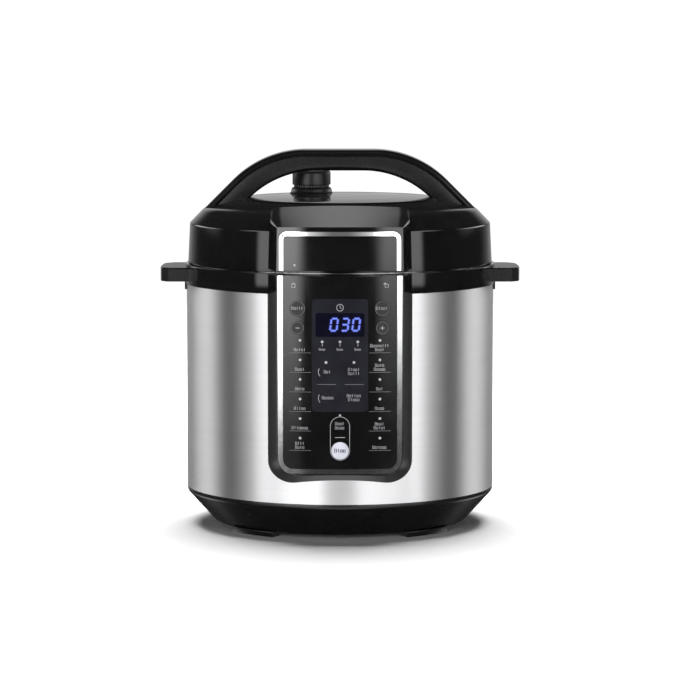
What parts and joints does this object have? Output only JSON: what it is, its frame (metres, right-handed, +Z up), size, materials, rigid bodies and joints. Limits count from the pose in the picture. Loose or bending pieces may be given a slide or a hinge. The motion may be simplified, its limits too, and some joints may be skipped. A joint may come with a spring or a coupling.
{
  "type": "electric pressure cooker",
  "caption": "Countertop electric pressure cooker: brushed steel drum, black twist-lock lid with arch handle and steam valve, front control panel, removable inner pot.",
  "frame": {"origin": "middle of the footprint, on the surface the feet stand on", "axes": "+Z up, control panel faces -Y, +X to the right as seen from the front"},
  "size_m": [0.322, 0.3006, 0.336],
  "materials": {
    "satin_black": "satin moulded plastic",
    "matte_black": "fine textured plastic",
    "rubber_black": "matte",
    "steel_small": "plain",
    "brushed_steel": "brushed around the body",
    "gloss_black": "high gloss",
    "aluminium_cast": "plain",
    "matte_white": "matte",
    "board_green": "solder mask",
    "cable_grey": "matte",
    "display_glow": "segment display",
    "chrome": "polished plating",
    "panel_black": "gloss behind a clear face",
    "panel_blue_black": "gloss",
    "window_black": "dark clear",
    "lens_white": "diffusing",
    "brass_pins": "plain",
    "clear_plastic": "clear",
    "inner_steel": "satin stainless",
    "silicone": "translucent silicone",
    "button_silver": "light silver"
  },
  "bodies": {
    "base": {"bottom_cover": "matte_black", "bottom_housing": "satin_black", "bottom_screws": "steel_small", "center_plate": "panel_blue_black", "collar": "gloss_black", "control_board": "board_green", "cup_bracket": "satin_black", "display_module": "display_glow", "display_window": "window_black", "heater_element": "aluminium_cast", "heating_plate": "aluminium_cast", "inlet_pins": "brass_pins", "light_guides": "lens_white", "outer_pot": "aluminium_cast", "outer_shell": "brushed_steel", "panel_fascia": "panel_black", "panel_housing": "satin_black", "panel_trim": "chrome", "power_board": "board_green", "power_inlet": "matte_black", "pressure_switch": "matte_black", "ribbon_cable": "cable_grey", "rubber_feet": "rubber_black", "sensor_holder": "steel_small", "sensor_spring": "steel_small", "side_handle_left": "satin_black", "side_handle_right": "satin_black", "thermal_fuse": "matte_white"},
    "sensor": {"temperature_sensor": "aluminium_cast"},
    "cup": {"condensation_cup": "clear_plastic"},
    "pot": {"inner_pot": "inner_steel"},
    "seal": {"sealing_ring": "silicone"},
    "lid": {"lid_cover": "gloss_black", "handle_cap": "gloss_black", "handle_grip": "satin_black", "lid_trim": "chrome", "lid_plate": "panel_black", "inner_lid": "inner_steel", "gasket_rack": "inner_steel", "steam_pipe": "inner_steel", "pipe_nut": "inner_steel", "filter_shield": "inner_steel", "valve_surround": "gloss_black", "lid_screws": "steel_small"},
    "pressure_valve": {"valve_knob": "satin_black", "valve_weight": "inner_steel"},
    "float_valve": {"float_pin": "steel_small", "float_seal": "silicone"},
    "cancel_key": {"cancel_button": "panel_black"},
    "custom_key": {"custom_button": "panel_blue_black"},
    "delay_key": {"delay_button": "panel_blue_black"},
    "keep_warm_key": {"keep_warm_button": "panel_black"},
    "level_key": {"level_button": "panel_blue_black"},
    "menu_key": {"menu_button": "button_silver"},
    "minus_key": {"minus_button": "panel_black"},
    "plus_key": {"plus_button": "panel_black"},
    "start_key": {"start_button": "panel_black"},
    "timer_key": {"timer_button": "panel_blue_black"}
  },
  "joints": [
    {"name": "inner_pot_lift", "type": "slide", "parent": "base", "child": "pot", "axis": [0, 0, 1], "range_m": [0, 0.19]},
    {"name": "lid_lift", "type": "slide", "parent": "pot", "child": "seal", "axis": [0, 0, 1], "range_m": [0, 0.12]},
    {"name": "lid_turn", "type": "hinge", "parent": "seal", "child": "lid", "pos_m": [0, 0, 0.235], "axis": [0, 0, 1], "range_deg": [0, 31]},
    {"name": "valve_turn", "type": "hinge", "parent": "lid", "child": "pressure_valve", "pos_m": [-0.0258, 0.034, 0.303], "axis": [0, 0, 1], "range_deg": [0, 45]},
    {"name": "float_rise", "type": "slide", "parent": "lid", "child": "float_valve", "axis": [0, 0, 1], "range_m": [0, 0.006]},
    {"name": "sensor_press", "type": "slide", "parent": "base", "child": "sensor", "axis": [0, 0, -1], "range_m": [0, 0.003], "stiffness_N_per_m": 600, "springref_m": -0.002, "deforming": ["sensor_spring"]},
    {"name": "cup_pull", "type": "slide", "parent": "base", "child": "cup", "axis": [0, 1, 0], "range_m": [0, 0.04]},
    {"name": "cancel_press", "type": "slide", "parent": "base", "child": "cancel_key", "axis": [0, 1, 0], "range_m": [0, 0.001], "stiffness_N_per_m": 800, "springref_m": -0.0005},
    {"name": "custom_press", "type": "slide", "parent": "base", "child": "custom_key", "axis": [0, 1, 0], "range_m": [0, 0.001], "stiffness_N_per_m": 800, "springref_m": -0.0005},
    {"name": "delay_press", "type": "slide", "parent": "base", "child": "delay_key", "axis": [0, 1, 0], "range_m": [0, 0.001], "stiffness_N_per_m": 800, "springref_m": -0.0005},
    {"name": "keep_warm_press", "type": "slide", "parent": "base", "child": "keep_warm_key", "axis": [0, 1, 0], "range_m": [0, 0.001], "stiffness_N_per_m": 800, "springref_m": -0.0005},
    {"name": "level_press", "type": "slide", "parent": "base", "child": "level_key", "axis": [0, 1, 0], "range_m": [0, 0.001], "stiffness_N_per_m": 800, "springref_m": -0.0005},
    {"name": "menu_press", "type": "slide", "parent": "base", "child": "menu_key", "axis": [0, 1, 0], "range_m": [0, 0.001], "stiffness_N_per_m": 800, "springref_m": -0.0005},
    {"name": "minus_press", "type": "slide", "parent": "base", "child": "minus_key", "axis": [0, 1, 0], "range_m": [0, 0.001], "stiffness_N_per_m": 800, "springref_m": -0.0005},
    {"name": "plus_press", "type": "slide", "parent": "base", "child": "plus_key", "axis": [0, 1, 0], "range_m": [0, 0.001], "stiffness_N_per_m": 800, "springref_m": -0.0005},
    {"name": "start_press", "type": "slide", "parent": "base", "child": "start_key", "axis": [0, 1, 0], "range_m": [0, 0.001], "stiffness_N_per_m": 800, "springref_m": -0.0005},
    {"name": "timer_press", "type": "slide", "parent": "base", "child": "timer_key", "axis": [0, 1, 0], "range_m": [0, 0.001], "stiffness_N_per_m": 800, "springref_m": -0.0005}
  ]
}
